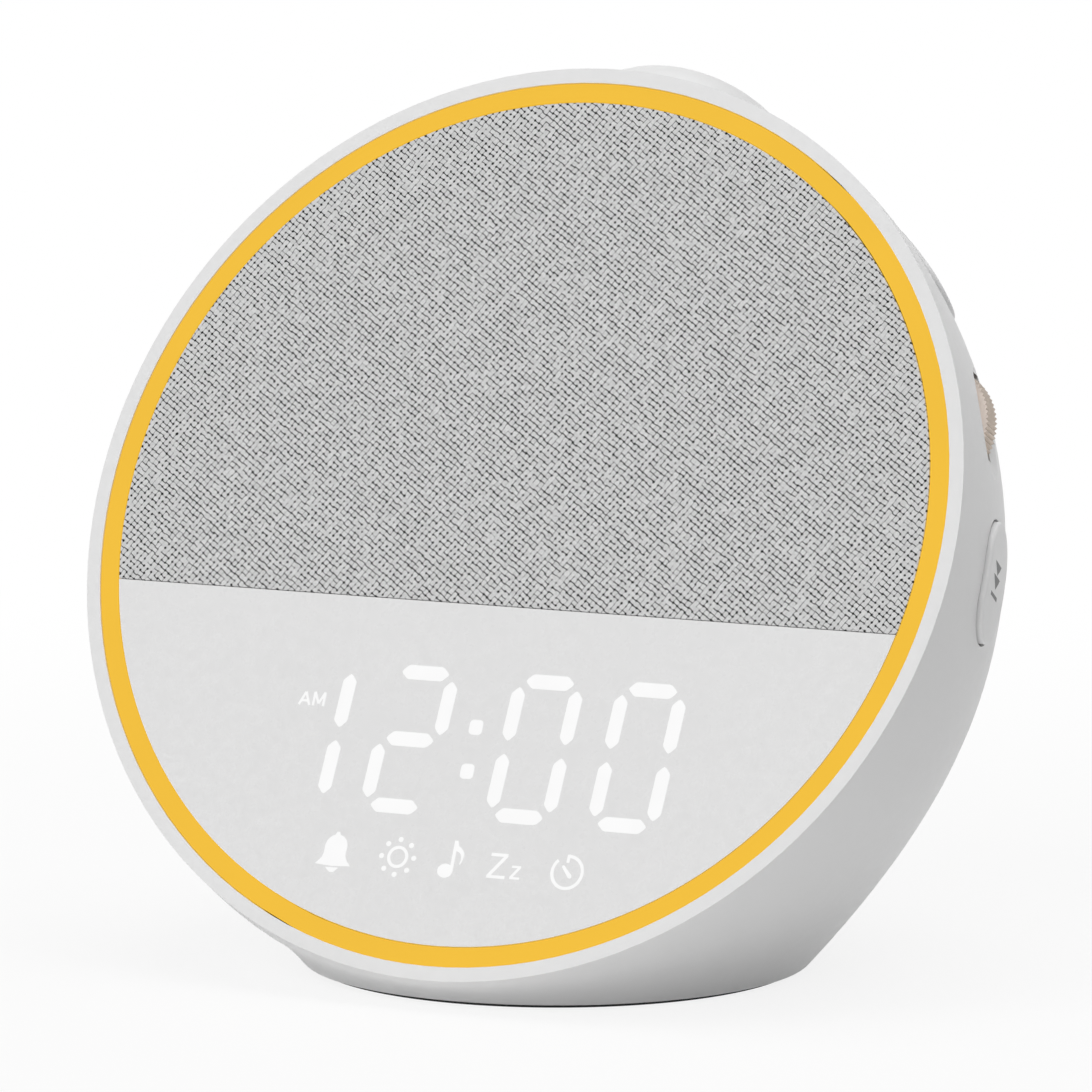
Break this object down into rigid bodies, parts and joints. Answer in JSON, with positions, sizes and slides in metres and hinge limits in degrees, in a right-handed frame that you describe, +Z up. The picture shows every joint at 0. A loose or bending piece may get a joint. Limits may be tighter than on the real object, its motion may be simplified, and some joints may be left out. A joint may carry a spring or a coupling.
{
  "type": "sunrise alarm clock",
  "caption": "Free-standing alarm clock: round leaning face with fabric speaker panel above a lit digit display, glowing ring, domed top button, side keys and a thumb wheel.",
  "frame": {"origin": "middle of the foot, on the ground", "axes": "+Z up, -Y towards the user in front of the face, +X to the right as the user sees the face"},
  "size_m": [0.12, 0.09, 0.1126],
  "materials": {
    "white_plastic": "fine satin moulded plastic",
    "ring_light": "translucent lit ring",
    "board": "circuit board with solder mask",
    "led": "small light emitters",
    "screw_steel": "zinc plated screws",
    "grey_plastic": "moulded grille",
    "woven_fabric": "light grey basket weave",
    "white_window": "translucent white panel, satin",
    "light_pipe": "clear light pipes",
    "black_plastic": "moulded plastic",
    "black_rubber": "soft rubber",
    "paper_cone": "pressed paper",
    "copper": "lacquered copper wire",
    "spider_cloth": "resin-stiffened cloth",
    "plain_steel": "plated steel",
    "ferrite": "sintered ferrite",
    "champagne_metal": "champagne anodised, knurled rim"
  },
  "bodies": {
    "clock": {"base_plate": "black_plastic", "base_screws": "screw_steel", "base_weight": "plain_steel", "carrier_screws": "screw_steel", "coin_cell": "plain_steel", "coin_cell_holder": "black_plastic", "digit_light_pipes": "light_pipe", "digit_reflector": "white_plastic", "display_board": "board", "display_leds": "led", "display_screws": "screw_steel", "display_window": "white_window", "encoder_board": "board", "encoder_body": "black_plastic", "encoder_screws": "screw_steel", "fabric_cover": "woven_fabric", "foot_ring": "black_rubber", "front_carrier": "white_plastic", "housing_shell": "white_plastic", "inlet_shell": "plain_steel", "inlet_tongue": "black_plastic", "key_board_screws": "screw_steel", "key_boards": "board", "key_switches": "black_plastic", "led_ring_board": "board", "light_ring": "ring_light", "main_board": "board", "main_board_parts": "black_plastic", "main_board_screws": "screw_steel", "power_board": "board", "power_board_screws": "screw_steel", "ring_leds": "led", "snooze_board": "board", "snooze_board_screws": "screw_steel", "snooze_switch": "black_plastic", "speaker_basket": "black_plastic", "speaker_grille": "grey_plastic", "speaker_magnet": "ferrite", "speaker_screws": "screw_steel", "speaker_spider": "spider_cloth", "speaker_surround": "black_rubber", "speaker_yoke": "plain_steel"},
    "snooze": {"snooze_button": "white_plastic", "snooze_plunger": "black_plastic"},
    "previous": {"previous_key": "white_plastic", "previous_plunger": "black_plastic"},
    "next": {"next_key": "white_plastic", "next_plunger": "black_plastic"},
    "wheel": {"volume_wheel": "champagne_metal", "wheel_shaft": "plain_steel"},
    "cone": {"speaker_cone": "paper_cone", "dust_cap": "paper_cone", "voice_coil": "copper"}
  },
  "joints": [
    {"name": "wheel_turn", "type": "hinge", "parent": "clock", "child": "wheel", "pos_m": [0.04758, 0.00876, 0.06986], "axis": [0, -0.9063, 0.4226], "continuous": true},
    {"name": "snooze_press", "type": "slide", "parent": "clock", "child": "snooze", "axis": [0, -0.7664, -0.6424], "range_m": [0, 0.0008], "stiffness_N_per_m": 1500, "springref_m": -0.0004},
    {"name": "previous_press", "type": "slide", "parent": "clock", "child": "previous", "axis": [-0.671, -0.5282, -0.5203], "range_m": [0, 0.0006], "stiffness_N_per_m": 1500, "springref_m": -0.0004},
    {"name": "next_press", "type": "slide", "parent": "clock", "child": "next", "axis": [-0.9816, -0.1773, 0.0713], "range_m": [0, 0.0006], "stiffness_N_per_m": 1500, "springref_m": -0.0004},
    {"name": "cone_stroke", "type": "slide", "parent": "clock", "child": "cone", "axis": [0, -0.9063, 0.4226], "range_m": [-0.0005, 0.0005], "stiffness_N_per_m": 800}
  ]
}
